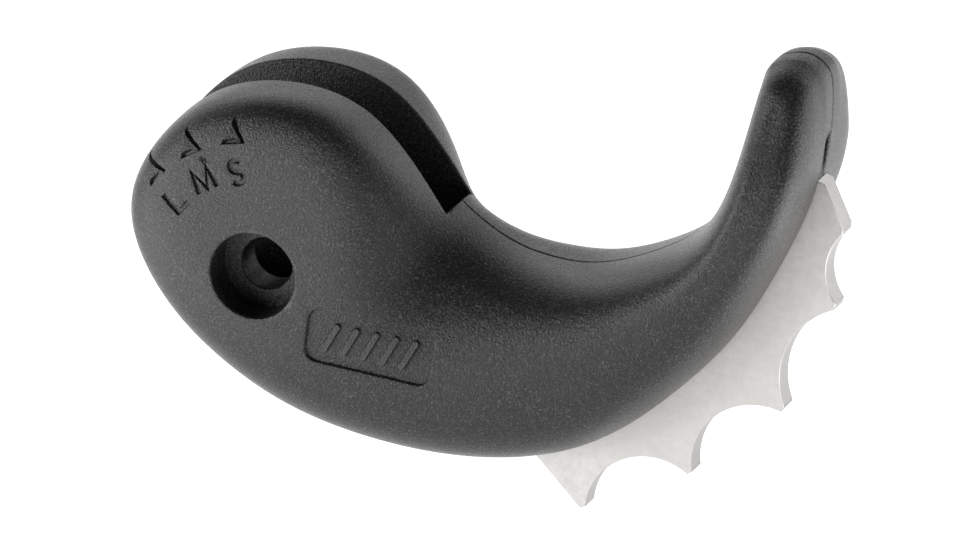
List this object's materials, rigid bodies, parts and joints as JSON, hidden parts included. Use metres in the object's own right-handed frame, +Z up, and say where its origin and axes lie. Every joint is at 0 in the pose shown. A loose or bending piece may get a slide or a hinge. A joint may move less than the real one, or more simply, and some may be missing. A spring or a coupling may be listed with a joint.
{
  "type": "ice axe hand rest",
  "caption": "Hook-shaped bolt-on hand rest for the foot of an ice axe: slotted round head with a counterbored bolt hole, curved finger saddle, upright tip and a toothed steel edge.",
  "frame": {"origin": "on the bolt's axis, on the plane where the two moulded halves meet, midway between the two cheeks", "axes": "+Y along the bolt, from the half with the size marks (the near half, at -Y) to the far half; +X from the round head to the upright tip of the hook; +Z upwards, the way the hook opens"},
  "size_m": [0.09, 0.03, 0.0615],
  "materials": {
    "nylon_near": "black glass-filled nylon with a fine spark-eroded grain, satin",
    "nylon_far": "black glass-filled nylon with a fine spark-eroded grain, satin",
    "steel": "matt blasted stainless steel plate with bright cut edges"
  },
  "bodies": {
    "root": {"near_shell": "nylon_near", "far_shell": "nylon_far", "serrated_blade": "steel"}
  },
  "joints": []
}
